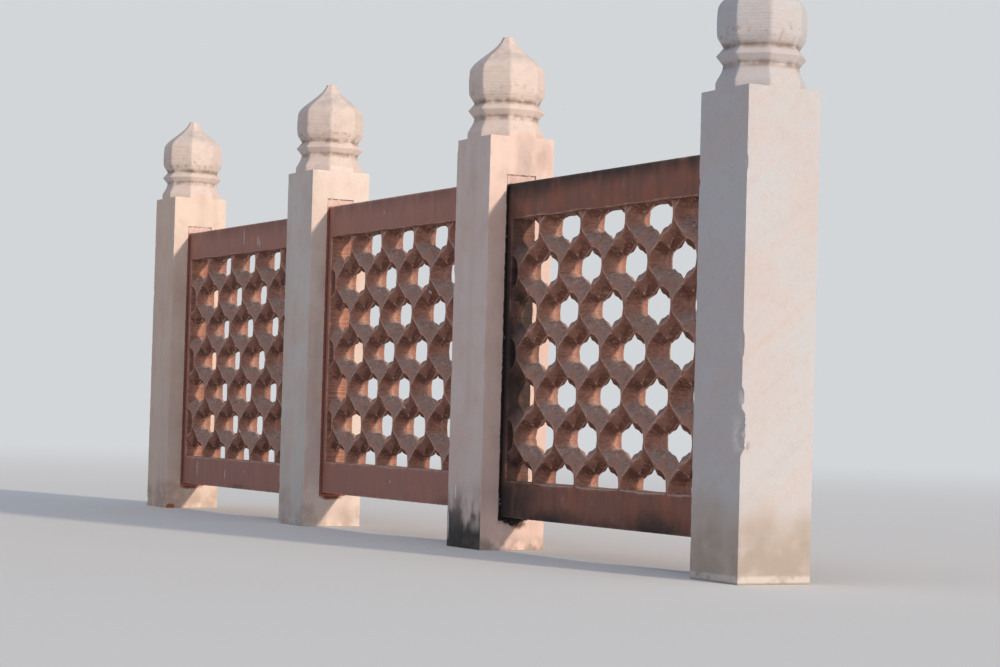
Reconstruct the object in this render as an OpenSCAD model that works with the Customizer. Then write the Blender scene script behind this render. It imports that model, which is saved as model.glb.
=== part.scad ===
// Stone balustrade in three bays: square posts that end in octagonal bulb finials, and
// pierced stone panels whose ends are bedded in mortar in mortises cut into the posts.
// Millimetres. The origin is the centre of the foot of the first post, the run goes
// along +X, the outer face looks along -Y, and +Z is up.

/* [Posts] */
// Side of the square shaft
post_w = 125; // [100:1:160]
// Height of the shaft, from its foot to the corner ledges under the finial
shaft_h = 710; // [680:5:1000]

/* [Run] */
// Centre to centre of the first and second posts
bay_1 = 784; // [600:1:960]
// Centre to centre of the second and third posts
bay_2 = 758; // [600:1:960]
// Centre to centre of the third and fourth posts
bay_3 = 784; // [600:1:960]

/* [Finial] */
// Height of the octagonal plinth, flush with the faces of the shaft
plinth_h = 10; // [4:1:16]
// Height from the ledges to the top of the neck
neck_top = 35.5; // [24:0.5:44]
// Across the flats of the neck, at its top and at the foot of the bulb
neck_w = 105; // [84:1:112]
// Across the flats of the sharp arris of the band
band_w = 125; // [114:1:130]
// Height of the band, from the neck to the foot of the bulb
band_h = 25.5; // [16:0.5:32]
// Across the flats of the bulb at its widest
bulb_w = 125; // [114:1:130]
// Height of the bulb, from the band to the tip
bulb_h = 119; // [100:1:150]
// Across the flats of the blunt tip
tip_w = 19; // [10:1:30]

/* [Panels] */
// Thickness of a panel
panel_t = 45; // [43:1:60]
// Height of a panel
panel_h = 572; // [480:1:600]
// Gap from the ground to the underside of the first and third panels
panel_gap = 56; // [20:1:90]
// How much higher the second panel is set
panel_2_lift = 10; // [0:1:16]
// Height of the top rail and of the bottom rail
rail_h = 62; // [40:1:90]
// Width of a panel's upright border, seen beside a post
stile_w = 11.5; // [6:0.5:30]

/* [Piercing] */
// Distance between like holes, along the run and up the panel
pitch = 140; // [116:1:180]
// Half the height of a hole from tip to tip, in the middle of the panel
tip_reach = 31; // [29:0.5:31]
// How much further a tip reaches at the faces
tip_flare = 25; // [22:0.5:25]
// Slope of the two sides of a tip, from the level
tip_slope = 38.7; // [38:0.1:40]
// Land left between two holes side by side at the faces
waist_land = 5; // [5:0.5:8]
// Radius of a hole's round lobes, in the middle of the panel
lobe_r = 14; // [12:0.5:16]
// How much wider the radius of a lobe is at the faces
lobe_flare = 16.5; // [14:0.5:16.5]
// Depth of the straight sides' flare from each face, leaving a land in the middle
flare_depth = 19.5; // [15.5:1:19.5]
// Depth of the lobes' flare from each face, never that of the straight sides
lobe_flare_depth = 20.5; // [16:1:21]
// How far the pattern sits off the middle of each panel, along the run
pattern_shifts = [-4, 0, -13]; // [-20:1:20]
// How far the pattern sits under the middle of each panel
pattern_drop = 5.5; // [0:0.5:6]

/* [Mortises] */
// Depth of a mortise
mortise_depth = 20; // [12:1:40]
// Mortar between the end of a panel and the bottom of its mortise
end_bed = 2; // [1:0.5:6]
// Mortar in front of a panel's end, and behind it
side_bed = 6; // [2:0.5:12]
// Mortar under a panel's end
foot_bed = 6; // [2:0.5:12]
// Mortar over a panel's end
head_bed = 16; // [4:0.5:24]
// How far the mortar is raked back from the face of the post
rake = 1.5; // [0.5:0.5:4]

/* [Hidden] */
post_colour = "#cbb3a6";
panel_colour = "#7d5348";
mortar_colour = "#a8968b";
left = -1;
right = 1;
// How far a cutter runs past the face that it opens
past = 0.5;
curve_steps = 10;
post_x = [0, bay_1, bay_1 + bay_2, bay_1 + bay_2 + bay_3];
panel_z = [panel_gap, panel_gap + panel_2_lift, panel_gap];
field_h = panel_h - 2 * rail_h;
// A lobe's centre leaves half of the land between it and its neighbour
lobe_x = (pitch - waist_land) / 2 - lobe_r - lobe_flare;

// Cubic curve from a to d with the handles b and c
function bezier(a, b, c, d, t) =
    pow(1 - t, 3) * a + 3 * pow(1 - t, 2) * t * b + 3 * (1 - t) * t * t * c + pow(t, 3) * d;

function curve(a, b, c, d, steps) = [for (i = [1 : steps]) bezier(a, b, c, d, i / steps)];

// Half width and height of the finial, from the ledges up to the tip
function finial_outline() =
    let (
        bulb_z = neck_top + band_h,
        // The lower corner of the bulb, and the shoulder where its side turns in
        corner = [bulb_w * 0.49, bulb_z + bulb_h * 0.125],
        shoulder = [bulb_w * 0.4925, bulb_z + bulb_h * 0.465],
        bulge = bulb_w * 0.5025
    )
    concat(
        [[post_w / 2, 0], [post_w / 2, plinth_h]],
        curve([post_w / 2, plinth_h], [(post_w * 2 + neck_w) / 6, (plinth_h * 2 + neck_top) / 3],
            [neck_w / 2, neck_top - plinth_h], [neck_w / 2, neck_top], 4),
        [[band_w / 2, neck_top + band_h / 2], [neck_w / 2, bulb_z], corner],
        curve(corner, [bulge, bulb_z + bulb_h * 0.22], [bulge, bulb_z + bulb_h * 0.36], shoulder, 4),
        curve(shoulder, [shoulder.x, bulb_z + bulb_h * 0.63], [bulb_w * 0.117, bulb_z + bulb_h * 0.8],
            [tip_w / 2, bulb_z + bulb_h], curve_steps)
    );

// Face of the post at either end of a panel, and what lies between the two faces
function end_face(panel, side) =
    side == left ? post_x[panel - 1] + post_w / 2 : post_x[panel] - post_w / 2;
function middle(panel) = (end_face(panel, left) + end_face(panel, right)) / 2;
function clear_w(panel) = end_face(panel, right) - end_face(panel, left);

// Eight-sided solid that has the outline across its flats
module finial() {
    outline = finial_outline();
    mirrored = [for (i = [len(outline) - 1 : -1 : 0]) [-outline[i].x, outline[i].y]];
    intersection_for (turn = [0 : 45 : 135])
        rotate([90, 0, turn])
            linear_extrude(height = 2 * post_w, center = true) polygon(concat(outline, mirrored));
}

// Mortise for one end of a panel, with its bottom in the post and its mouth short of the
// post's face by inset
module mortise(panel, side, inset) {
    translate([
        end_face(panel, side) + side * (mortise_depth + inset) / 2,
        0,
        panel_z[panel - 1] + (panel_h + head_bed - foot_bed) / 2
    ])
        cube([mortise_depth - inset, panel_t + 2 * side_bed, panel_h + head_bed + foot_bed],
            center = true);
}

module post(number) {
    color(post_colour)
        difference() {
            translate([post_x[number - 1], 0, 0]) {
                translate([-post_w / 2, -post_w / 2, 0]) cube([post_w, post_w, shaft_h]);
                translate([0, 0, shaft_h]) finial();
            }
            if (number > 1) mortise(number - 1, right, -past);
            if (number < len(post_x)) mortise(number, left, -past);
        }
}

// Core of a hole, pointed above and below, where two flared strips cross that slope
// opposite ways. It is cut short inside the lobes.
module tips() {
    straight = panel_t / 2 - flare_depth;
    far = panel_t / 2 + past;
    mid = tip_reach * cos(tip_slope);
    out = mid + tip_flare * cos(tip_slope) * (1 + past / flare_depth);
    intersection() {
        cube([2 * lobe_x + lobe_r, 2 * far, pitch], center = true);
        intersection_for (way = [left, right])
            rotate([0, way * (90 - tip_slope), 0])
                linear_extrude(height = 2 * pitch, center = true)
                    polygon([
                        [mid, -straight], [mid, straight], [out, far], [-out, far],
                        [-mid, straight], [-mid, -straight], [-out, -far], [out, -far]
                    ]);
    }
}

// Round end of a hole, flared at both faces
module lobe() {
    straight = panel_t / 2 - lobe_flare_depth;
    far = panel_t / 2 + past;
    out = lobe_r + lobe_flare * (1 + past / lobe_flare_depth);
    rotate([90, 0, 0])
        rotate_extrude($fn = 48)
            polygon([
                [0, -far], [out, -far], [lobe_r, -straight], [lobe_r, straight], [out, far], [0, far]
            ]);
}

// Lantern-shaped hole, pointed above and below, with a round lobe on each side
module hole() {
    tips();
    for (side = [left, right]) translate([side * lobe_x, 0, 0]) lobe();
}

module slab(number) {
    translate([middle(number), 0, panel_z[number - 1] + panel_h / 2])
        cube([clear_w(number) + 2 * (mortise_depth - end_bed), panel_t, panel_h], center = true);
}

// Rows of holes, each row half a step along from the next, that the borders cut short
module pierced_field(number) {
    field_w = clear_w(number) - 2 * stile_w;
    last_row = ceil(field_h / pitch) - 1;
    last_place = ceil(field_w / pitch / 2) + 1;
    difference() {
        cube([field_w, panel_t, field_h], center = true);
        for (row = [-last_row : last_row], place = [-last_place : last_place]) {
            x = (place + (row % 2 == 0 ? 0.5 : 0)) * pitch + pattern_shifts[number - 1];
            if (abs(x) - (pitch - waist_land) / 2 < field_w / 2)
                translate([x, 0, row * pitch / 2 - pattern_drop]) hole();
        }
    }
}

module panel(number) {
    color(panel_colour) {
        translate([middle(number), 0, panel_z[number - 1] + panel_h / 2]) pierced_field(number);
        difference() {
            slab(number);
            translate([middle(number), 0, panel_z[number - 1] + panel_h / 2])
                cube([clear_w(number) - 2 * stile_w, panel_t + 2 * past, field_h], center = true);
        }
    }
}

// Bedding between one end of a panel and its mortise
module mortar(number, side) {
    color(mortar_colour)
        difference() {
            mortise(number, side, rake);
            slab(number);
        }
}

post(1);  // post_1
post(2);  // post_2
post(3);  // post_3
post(4);  // post_4
panel(1);  // panel_1
panel(2);  // panel_2
panel(3);  // panel_3
mortar(1, left);  // mortar_1_left
mortar(1, right);  // mortar_1_right
mortar(2, left);  // mortar_2_left
mortar(2, right);  // mortar_2_right
mortar(3, left);  // mortar_3_left
mortar(3, right);  // mortar_3_right
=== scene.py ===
"""Stone balustrade: hand-dressed sandstone posts with bulb finials, pierced sandstone panels,
and the mortar that beds the panels in the posts. Metres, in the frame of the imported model."""

import math
from functools import partial

import bpy
import bmesh
import numpy as np
from bpy.props import FloatProperty, FloatVectorProperty, IntProperty, PointerProperty
from mathutils import Matrix, Vector, noise


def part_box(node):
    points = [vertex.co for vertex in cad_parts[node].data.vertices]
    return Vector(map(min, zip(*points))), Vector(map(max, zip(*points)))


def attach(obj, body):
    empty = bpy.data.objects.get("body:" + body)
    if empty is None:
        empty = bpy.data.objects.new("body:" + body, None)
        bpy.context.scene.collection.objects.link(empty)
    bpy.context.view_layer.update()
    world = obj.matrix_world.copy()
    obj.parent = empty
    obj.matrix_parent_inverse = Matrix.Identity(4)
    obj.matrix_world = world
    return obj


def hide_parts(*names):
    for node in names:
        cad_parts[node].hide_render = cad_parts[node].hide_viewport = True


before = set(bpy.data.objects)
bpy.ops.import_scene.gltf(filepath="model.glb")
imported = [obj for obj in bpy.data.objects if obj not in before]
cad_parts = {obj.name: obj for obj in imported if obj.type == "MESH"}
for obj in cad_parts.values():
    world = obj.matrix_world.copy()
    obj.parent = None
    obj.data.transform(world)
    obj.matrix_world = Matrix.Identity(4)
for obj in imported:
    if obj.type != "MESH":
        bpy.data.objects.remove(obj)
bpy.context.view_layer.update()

bl_info = {
    "name": "Stone balustrade",
    "version": (1, 0, 0),
    "blender": (4, 5, 0),
    "location": "3D View > Sidebar > Balustrade",
    "description": "Sandstone posts, pierced panels and mortar, with worn and stained finishes",
    "category": "Add Mesh",
}

MM = 0.001
MATH = "ShaderNodeMath"
VECTOR = "ShaderNodeVectorMath"
SPLIT = "ShaderNodeSeparateXYZ"
NOISE = "ShaderNodeTexNoise"
RANGE = "ShaderNodeMapRange"
POSTS = [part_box(f"post_{number}") for number in (1, 2, 3, 4)]
PANELS = [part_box(f"panel_{number}") for number in (1, 2, 3)]


def linear(code):
    """Linear red, green and blue of an sRGB hex colour."""
    values = [int(code[i : i + 2], 16) / 255 for i in (1, 3, 5)]
    return [v / 12.92 if v <= 0.04045 else ((v + 0.055) / 1.055) ** 2.4 for v in values]


def rgba(colour):
    """Linear colour and alpha of a hex colour, or of a property that holds a linear one."""
    return (*(linear(colour) if isinstance(colour, str) else colour), 1.0)


def add(tree, kind, links=(), out=0, **settings):
    """Adds a node with its settings and what goes into it, and gives back one of its outputs."""
    node = tree.nodes.new(kind)
    for key, value in settings.items():
        setattr(node, key, value)
    for key, value in links.items() if isinstance(links, dict) else enumerate(links):
        if isinstance(value, bpy.types.NodeSocket):
            tree.links.new(value, node.inputs[key])
        elif value is not None:
            node.inputs[key].default_value = value
    return node.outputs[out] if node.outputs else node


def new_object(name, data):
    """Puts a new mesh, lamp or camera in the scene."""
    thing = bpy.data.objects.new(name, data)
    bpy.context.scene.collection.objects.link(thing)
    return thing


def settled(thing):
    """Turns an object's modifiers into plain mesh."""
    evaluated = thing.evaluated_get(bpy.context.evaluated_depsgraph_get())
    mesh = bpy.data.meshes.new_from_object(evaluated)
    mesh.name = thing.name
    thing.modifiers.clear()
    thing.data = mesh
    return thing


def thinned(thing, triangles):
    """Thins a mesh to about this many triangles, flat stretches first."""
    thing.data.calc_loop_triangles()
    share = triangles / len(thing.data.loop_triangles)
    if share < 1:
        thing.modifiers.new("Thin", "DECIMATE").ratio = share
        settled(thing)


# The hollow value darkens creases (dirt and painted shade) and pales arrises (wear)
def mark_wear_and_shade(thing, passes):
    """Stores how hollow the surface is at each point: above 0 in a crease, below 0 on an
    arris. Each pass evens it out between neighbours."""
    mesh = thing.data
    count = len(mesh.vertices)
    place, normal = np.empty(count * 3), np.empty(count * 3)
    mesh.vertices.foreach_get("co", place)
    mesh.vertices.foreach_get("normal", normal)
    place, normal = place.reshape(-1, 3), normal.reshape(-1, 3)
    edges = np.empty(len(mesh.edges) * 2, int)
    mesh.edges.foreach_get("vertices", edges)
    a, b = edges.reshape(-1, 2).T
    reach = place[b] - place[a]
    reach /= np.maximum(np.linalg.norm(reach, axis=1), 1e-9)[:, None]
    meets = np.maximum(np.bincount(a, minlength=count) + np.bincount(b, minlength=count), 1)
    hollow = np.bincount(a, (normal[a] * reach).sum(1), count)
    hollow = (hollow - np.bincount(b, (normal[b] * reach).sum(1), count)) / meets
    for _ in range(passes):
        shared = np.bincount(a, hollow[b], count) + np.bincount(b, hollow[a], count)
        hollow = (hollow + shared / meets) / 2
    layer = mesh.attributes.new("hollow", "FLOAT", "POINT")
    layer.data.foreach_set("value", hollow.astype(np.float32))


def finish_piece(thing, node, material):
    """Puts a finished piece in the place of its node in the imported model."""
    thing.data.materials.clear()
    thing.data.materials.append(material)
    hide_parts(node)
    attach(thing, "root")


class PostSizes(bpy.types.PropertyGroup):
    """Form of the posts, beyond what the frame gives"""

    shaft: FloatProperty(name="Shaft", description="Height of the square shaft",
        default=0.710, unit="LENGTH")
    plinth: FloatProperty(name="Plinth", description="Height of the octagonal plinth",
        default=0.010, unit="LENGTH")
    neck_top: FloatProperty(name="Neck top", description="Height of the top of the neck",
        default=0.0355, unit="LENGTH")
    neck: FloatProperty(name="Neck", description="Across the flats of the neck",
        default=0.105, unit="LENGTH")
    band: FloatProperty(name="Band", description="Across the flats of the band's arris",
        default=0.125, unit="LENGTH")
    band_height: FloatProperty(name="Band height", description="Height of the band",
        default=0.0255, unit="LENGTH")
    bulb: FloatProperty(name="Bulb", description="Across the flats of the bulb",
        default=0.125, unit="LENGTH")
    bulb_height: FloatProperty(name="Bulb height", description="Height of the bulb to the tip",
        default=0.119, unit="LENGTH")
    tip: FloatProperty(name="Tip", description="Across the flats of the blunt tip",
        default=0.019, unit="LENGTH")
    waver: FloatProperty(name="Waver", description="How far the hand-dressed faces waver",
        default=0.0004, unit="LENGTH", precision=5)


class PanelSizes(bpy.types.PropertyGroup):
    """Form of the pierced panels, beyond what the frame gives"""

    rail: FloatProperty(name="Rail", description="Height of each rail",
        default=0.062, unit="LENGTH")
    stile: FloatProperty(name="Stile", description="Width of the border seen beside a post",
        default=0.0115, unit="LENGTH")
    pitch: FloatProperty(name="Pitch", description="Distance between like holes",
        default=0.140, unit="LENGTH")
    tip_slope: FloatProperty(name="Tip slope", description="Slope of the sides of a tip",
        default=math.radians(35.3), unit="ROTATION")
    tips: FloatVectorProperty(name="Tips",
        description="Half the height of a hole in the middle, at the step and at the faces",
        default=(0.0315, 0.0432, 0.062), unit="LENGTH")
    neck_slope: FloatProperty(name="Neck slope", description="Slope of the sides at the necks",
        default=math.radians(45.5), unit="ROTATION")
    necks: FloatVectorProperty(name="Necks",
        description="Thickness of the bars in the middle, at the step and at the faces",
        default=(0.0350, 0.0343, 0.0016), unit="LENGTH", precision=4)
    lobes: FloatVectorProperty(name="Lobes",
        description="Radius of the round lobes in the middle, at the step and at the faces",
        default=(0.0140, 0.0218, 0.0302), unit="LENGTH", precision=4)
    waist_land: FloatProperty(name="Waist land", description="Land left between two lobes",
        default=0.0048, unit="LENGTH", precision=4)
    step_depth: FloatProperty(name="Step depth",
        description="Depth of the step where the outer bevels of a hole meet the inner ones",
        default=0.0112, unit="LENGTH", precision=4)
    drop: FloatProperty(name="Pattern drop",
        description="How far the pattern sits under the middle of a panel's height",
        default=0.0075, unit="LENGTH", precision=4)
    shifts: FloatVectorProperty(name="Pattern shifts",
        description="How far the pattern sits off the middle of each panel",
        default=(-0.004, 0.0, -0.013), unit="LENGTH")
    grain: FloatProperty(name="Carving grain", description="Size of the cells a panel is cut in",
        default=0.0018, unit="LENGTH", precision=4)
    wear: FloatProperty(name="Wear", description="How far the arrises are worn back",
        default=0.0012, unit="LENGTH", precision=4)
    seed: IntProperty(name="Seed", description="Picks the waver and the chips", default=4)


class MortarSizes(bpy.types.PropertyGroup):
    """Form of the bedding mortar"""

    lump: FloatProperty(name="Lumps", description="How far the lumps stand out",
        default=0.0018, unit="LENGTH", precision=4)
    seed: IntProperty(name="Seed", description="Picks the lumps", default=9)


class StoneColours(bpy.types.PropertyGroup):
    """Colours of the dry, clean stones and mortar"""

    post: FloatVectorProperty(name="Post", description="Sawn faces of the near post",
        default=linear("#cac8c9"), subtype="COLOR")
    wash_1: FloatVectorProperty(name="Wash 1", description="Wash on the ends of the first shaft",
        default=linear("#edd8c8"), subtype="COLOR")
    wash_2: FloatVectorProperty(name="Wash 2", description="Wash on the ends of the second shaft",
        default=linear("#ecddd2"), subtype="COLOR")
    wash_3: FloatVectorProperty(name="Wash 3", description="Wash on the ends of the third shaft",
        default=linear("#f2d6ca"), subtype="COLOR")
    finial: FloatVectorProperty(name="Finial", description="Bare stone of the finials",
        default=linear("#e6d3c8"), subtype="COLOR")
    panel: FloatVectorProperty(name="Panel", description="Carved red sandstone",
        default=linear("#c68d76"), subtype="COLOR")
    mortar: FloatVectorProperty(name="Mortar", description="Bedding mortar",
        default=linear("#e4c6bb"), subtype="COLOR")


class StageSizes(bpy.types.PropertyGroup):
    """Camera, and colours of the floor and the backdrop"""

    camera: FloatVectorProperty(name="Camera", description="Place of the camera",
        default=(5.1768, -1.9375, 0.2284), unit="LENGTH")
    yaw: FloatProperty(name="Yaw", description="Turn of the view from -X towards +Y",
        default=math.radians(28.05), unit="ROTATION")
    pitch: FloatProperty(name="Pitch", description="Tilt of the view above the level",
        default=math.radians(2.0), unit="ROTATION")
    roll: FloatProperty(name="Roll", description="Turn of the view about its own line",
        default=math.radians(1.563), unit="ROTATION")
    lens: FloatProperty(name="Lens", description="Focal length in millimetres on a 36 mm frame",
        default=85.2)
    floor: FloatVectorProperty(name="Floor", description="Colour of the floor",
        default=linear("#efebe5"), subtype="COLOR")
    backdrop: FloatVectorProperty(name="Backdrop", description="Colour behind the object",
        default=linear("#d3d6d9"), subtype="COLOR")


# Posts

# Half a side of an octagon, as a share of half its width across the flats
TURN = math.tan(math.radians(22.5))
# Places of the points along a flat that faces X or Y, and along a diagonal flat of the
# octagon, as shares of half its width, and along the square's corner, from the octagon's
# arris round the corner to the next one
FLAT = (-1, -0.93, -0.75, -0.5, -0.25, 0, 0.25, 0.5, 0.75, 0.93)
DIAGONAL = (-1, -0.93, -0.8, -0.6, -0.4, -0.2, -0.08, 0, 0.08, 0.2, 0.4, 0.6, 0.8, 0.93)
CORNER = (-1, -0.93, -0.74, -0.5, -0.3, -0.15, -0.06, 0, 0.06, 0.15, 0.3, 0.5, 0.74, 0.93)
# How much of an arris's wear the points on the corner and beside it take
CORNER_WEAR = {0: 1.0, 0.06: 0.35}
SHAFT_STEP = 4 * MM
FINIAL_STEP = 2.2 * MM
EASE = 0.7 * MM
# Half width of the smallest ring on the flat of the tip
TIP_RING = 1.5 * MM
# Spalls on the near post's outer right arris: height, half length, reach along the face and
# depth, in millimetres
SPALLS = ((340, 19, 9, 2.6), (266, 13, 7, 4.0), (216, 34, 20, 6.5), (598, 10, 6, 1.8))
# Faces that meet at more than this angle keep an arris between them
POST_ARRIS = math.radians(28)


def bezier(a, b, c, d, steps):
    """Points after a on the cubic curve from a to d."""
    a, b, c, d = (np.array(point) for point in (a, b, c, d))
    return [
        (1 - t) ** 3 * a + 3 * (1 - t) ** 2 * t * b + 3 * (1 - t) * t * t * c + t**3 * d
        for t in (i / steps for i in range(1, steps + 1))
    ]


def finial_outline(sizes, width):
    """Half width and height of the finial above the ledges, and which corners are arrises."""
    neck, bulb, tall = sizes.neck / 2, sizes.bulb, sizes.bulb_height
    foot = sizes.neck_top + sizes.band_height
    corner, shoulder = (bulb * 0.49, foot + tall * 0.125), (bulb * 0.4925, foot + tall * 0.465)
    bulge, top = bulb * 0.5025, foot + tall
    edge = (width / 2, sizes.plinth)
    slant = bezier(
        edge, ((width * 2 + sizes.neck) / 6, (sizes.plinth * 2 + sizes.neck_top) / 3),
        (neck, sizes.neck_top - sizes.plinth), (neck, sizes.neck_top), 5)
    band = [(sizes.band / 2, sizes.neck_top + sizes.band_height / 2), (neck, foot), corner]
    side = bezier(corner, (bulge, foot + tall * 0.22), (bulge, foot + tall * 0.36), shoulder, 8)
    ogee = bezier(shoulder, (shoulder[0], foot + tall * 0.63),
        (bulb * 0.117, foot + tall * 0.8), (sizes.tip / 2, top), 18)
    points = [(width / 2, 0), edge, *slant, *band, *side, *ogee, (TIP_RING, top)]
    neck_end = 1 + len(slant)
    keen = {1, *range(neck_end, neck_end + 1 + len(band)), len(points) - 2}
    return [np.array(point) for point in points], keen


def eased(points, keen):
    """Eases the keen corners of an outline and spaces its points: half width, height and
    keenness."""
    cut = []
    for i, point in enumerate(points):
        if i in keen:
            before, after = points[i - 1] - point, points[i + 1] - point
            before = point + before / np.linalg.norm(before) * EASE
            after = point + after / np.linalg.norm(after) * EASE
            middle = (before + after) / 4 + point / 2
            cut += [(*before, 0.4), (*middle, 1.0), (*after, 0.4)]
        else:
            cut.append((*point, 0.0))
    spaced = [cut[0]]
    for a, b in zip(cut, cut[1:]):
        count = max(1, round(math.dist(a[:2], b[:2]) / FINIAL_STEP))
        for i in range(1, count + 1):
            t = i / count
            spaced.append((a[0] + (b[0] - a[0]) * t, a[1] + (b[1] - a[1]) * t,
                b[2] if i == count else 0.0))
    return spaced


def flats():
    """The eight flats, from the one that faces +X: angle, direction outward and along, and
    whether it is diagonal."""
    for side in range(8):
        angle = math.radians(45 * side)
        outward = np.array((math.cos(angle), math.sin(angle)))
        yield angle, outward, np.array((-outward[1], outward[0])), side % 2 == 1


def square_ring(half, inset=0.0):
    """Points round the shaft, each with its outward direction and its weight as an arris."""
    ring = []
    h = half * TURN
    for _, normal, along, diagonal in flats():
        if not diagonal:
            ring += [(normal * half + along * h * share, normal, 0.0) for share in FLAT]
            continue
        first, second = (normal - along) / math.sqrt(2), (normal + along) / math.sqrt(2)
        for share in CORNER:
            face, edge = (first, second) if share <= 0 else (second, first)
            back = inset * min(1, (1 - abs(share)) / 0.07)
            point = face * (half - back) + edge * (half - abs(share) * (half - h) - back)
            ring.append((point, normal if share == 0 else face, CORNER_WEAR.get(abs(share), 0.0)))
    return ring


def octagon_ring(half):
    """Points round the finial, each with its outward direction and its weight as an arris."""
    ring = []
    h = half * TURN
    for angle, normal, along, diagonal in flats():
        for share in DIAGONAL if diagonal else FLAT:
            turn = angle - math.radians(22.5) if share == -1 else angle
            outward = np.array((math.cos(turn), math.sin(turn)))
            ring.append((normal * half + along * h * share, outward, float(share == -1)))
    return ring


def noise_at(places, size, seed):
    """Smooth noise from about -1 to 1 at each place, with features of the given size."""
    shift = Vector((seed * 3.7, seed * 1.3, seed * 2.9))
    return np.array([noise.noise(Vector(place) / size + shift) for place in places])


def post_rings(sizes, half):
    """Rings of points from the foot of a post to its tip: height, keenness and points."""
    count = round(sizes.shaft / SHAFT_STEP)
    rings = [(i * sizes.shaft / count, 0.0, square_ring(half)) for i in range(count)]
    rings.append((sizes.shaft - EASE, 0.4, square_ring(half)))
    rings.append((sizes.shaft, 0.0, square_ring(half, EASE)))
    for width, height, keenness in eased(*finial_outline(sizes, half * 2)):
        rings.append((sizes.shaft + height, keenness, octagon_ring(width)))
    return rings


def spall(places, half, seed):
    """Breaks flakes off the outer face of a post, along its right arris."""
    rough = noise_at(places, 6 * MM, seed)
    for height, length, reach, depth in SPALLS:
        along = 1 - ((places[:, 2] - height * MM) / (length * MM)) ** 2
        across = 1 - (half - places[:, 0]) / (reach * MM)
        near = np.clip(along, 0, 1) * np.clip(across, 0, 1) * (places[:, 1] < 6 * MM - half)
        places[:, 1] += depth * MM * np.clip(near * 2.2, 0, 1) * (1 + 0.45 * rough)


def post_mesh(number, sizes):
    """The whole stone of one post, before its mortises are cut."""
    low, high = POSTS[number - 1]
    middle, half = (low.x + high.x) / 2, (high.x - low.x) / 2
    rings = post_rings(sizes, half)
    around = len(rings[0][2])
    keen = np.repeat([keenness for _, keenness, _ in rings], around)
    places = np.array([(*point, height) for height, _, ring in rings for point, _, _ in ring])
    outward = np.array([(*way, 0.0) for _, _, ring in rings for _, way, _ in ring])
    arris = np.array([weight for _, _, ring in rings for _, _, weight in ring])
    # The faces waver all over, and the arrises are worn back, frayed and chipped
    seed = number * 11
    waver = noise_at(places, 70 * MM, seed) * 0.6 + noise_at(places, 20 * MM, seed) * 0.4
    fray = noise_at(places, 11 * MM, seed + 1)
    chip = np.clip(noise_at(places, 16 * MM, seed + 2) - 0.32, 0, 1)
    inward = sizes.waver * (1 - waver) * 0.6
    inward += np.maximum(arris, keen * 0.7) * MM * (0.45 + 0.35 * fray + 5.0 * chip)
    places -= outward * inward[:, None]
    if number == len(POSTS):
        spall(places, half, seed + 3)
    places[:, 0] += middle
    # Faces between the rings, and those that close the foot and the tip
    foot, tip, last = len(places), len(places) + 1, len(places) - around
    pairs = [(j, (j + 1) % around) for j in range(around)]
    faces = [(a + j, a + k, a + around + k, a + around + j)
        for a in range(0, last, around) for j, k in pairs]
    for j, k in pairs:
        faces += [(foot, k, j), (tip, last + j, last + k)]
    ends = [(middle, 0, 0), (middle, 0, rings[-1][0])]
    mesh = bpy.data.meshes.new(f"post_{number}_stone")
    mesh.from_pydata([*map(tuple, places), *ends], [], faces)
    mesh.update()
    return mesh


def mortise_cutter(bay, side):
    """Rough-mouthed pocket for one end of a panel."""
    low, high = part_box(f"mortar_{bay}_{side}")
    if side == "left":
        bottom, face = low.x, POSTS[bay - 1][1].x
    else:
        bottom, face = high.x, POSTS[bay][0].x
    # The cutter runs out of the post by a tenth of its depth
    mouth = face + (face - bottom) * 0.1
    wide, tall = high.y - low.y, high.z - low.z
    across, up = 12, 120
    outline = [(low.y + wide * i / across, low.z) for i in range(across)]
    outline += [(high.y, low.z + tall * i / up) for i in range(up)]
    outline += [(high.y - wide * i / across, high.z) for i in range(across)]
    outline += [(low.y, high.z - tall * i / up) for i in range(up)]
    ragged = 1.3 * MM if bay == len(PANELS) else 0.6 * MM
    work = bmesh.new()
    loops = []
    for x, rough in ((bottom, 0.0), (mouth, ragged)):
        loop = []
        for y, z in outline:
            fray = noise.noise(Vector((bay * 7 + x, y, z)) / (5 * MM)) * rough
            if low.z < z < high.z:
                out = Vector((0, math.copysign(1, y), 0))
            else:
                out = Vector((0, 0, 1 if z == high.z else -1))
            loop.append(work.verts.new(Vector((x, y, z)) + out * fray))
        loops.append(loop)
    for i in range(len(outline)):
        j = (i + 1) % len(outline)
        work.faces.new((loops[0][i], loops[0][j], loops[1][j], loops[1][i]))
    for loop in loops:
        work.faces.new(loop)
    bmesh.ops.recalc_face_normals(work, faces=work.faces)
    mesh = bpy.data.meshes.new(f"mortise_{bay}_{side}")
    work.to_mesh(mesh)
    work.free()
    return new_object(mesh.name, mesh)


class BALUSTRADE_OT_posts(bpy.types.Operator):
    """Dress the four posts and cut their mortises"""

    bl_idname = "balustrade.posts"
    bl_label = "Posts"

    def execute(self, context):
        sizes = context.scene.balustrade_posts
        for number in range(1, len(POSTS) + 1):
            post = new_object(f"post_{number}_stone", post_mesh(number, sizes))
            for bay, side in ((number - 1, "right"), (number, "left")):
                if 1 <= bay <= len(PANELS):
                    cutter = mortise_cutter(bay, side)
                    pocket = post.modifiers.new("Mortise", "BOOLEAN")
                    pocket.object, pocket.solver = cutter, "EXACT"
                    settled(post)
                    bpy.data.objects.remove(cutter)
            post.data.shade_smooth()
            post.data.set_sharp_from_angle(angle=POST_ARRIS)
            mark_wear_and_shade(post, 2)
            finish_piece(post, f"post_{number}",
                post_stone(number, sizes.shaft, context.scene.balustrade_colours))
        return {"FINISHED"}


# Panels and mortar, cut out of a solid by Geometry Nodes

LIFT = 0.1  # density on the surface, inside a volume whose outside is 0
STEEP = 5.0  # density gained by each metre under the surface
PANEL_TRIANGLES = 180_000
MORTAR_TRIANGLES = 14_000
PANEL_ARRIS = math.radians(32)


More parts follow.
